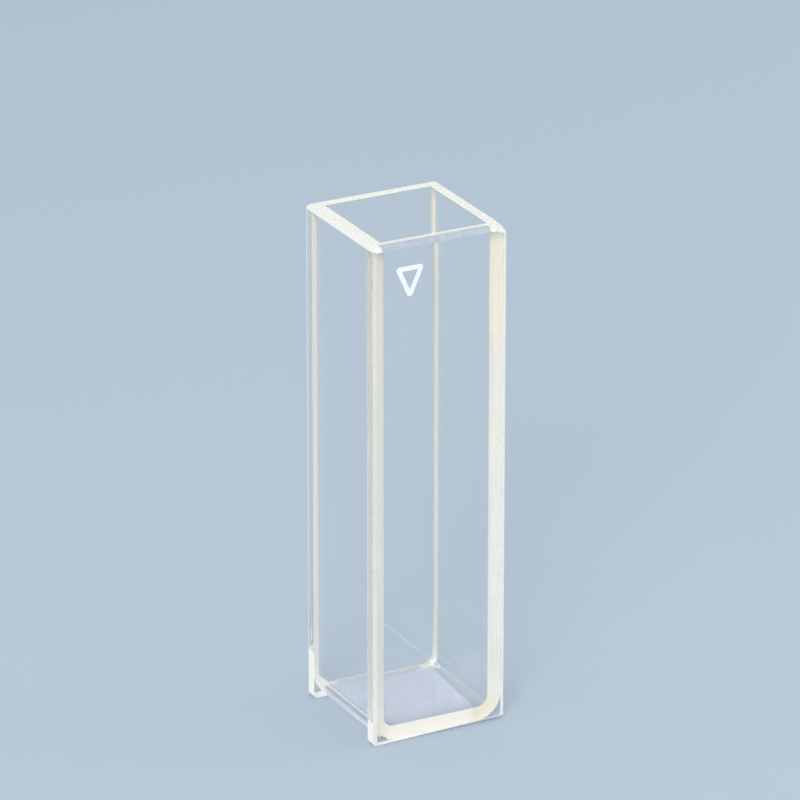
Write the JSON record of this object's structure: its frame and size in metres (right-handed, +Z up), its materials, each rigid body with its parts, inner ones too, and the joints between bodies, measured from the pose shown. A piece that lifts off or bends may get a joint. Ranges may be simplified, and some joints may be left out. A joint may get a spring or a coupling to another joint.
{
  "type": "cuvette",
  "caption": "Upright square glass cell, open at the rim, with polished windows fused by pale seams to a U-shaped frame with a rounded foot, to hold liquid in a light path.",
  "frame": {"origin": "middle of the square foot, on the surface the cell stands on", "axes": "+Z up towards the open rim, Y along the light path with the marked front window on the -Y side, X across the windows"},
  "size_m": [0.0126, 0.0126, 0.045],
  "materials": {
    "window_glass": "polished",
    "frame_glass": "polished",
    "seam_frit": "matte",
    "ground_glass": "matte",
    "white_enamel": "matte"
  },
  "bodies": {
    "root": {"front_window": "window_glass", "back_window": "window_glass", "u_frame": "frame_glass", "front_seam": "seam_frit", "back_seam": "seam_frit"}
  },
  "joints": []
}
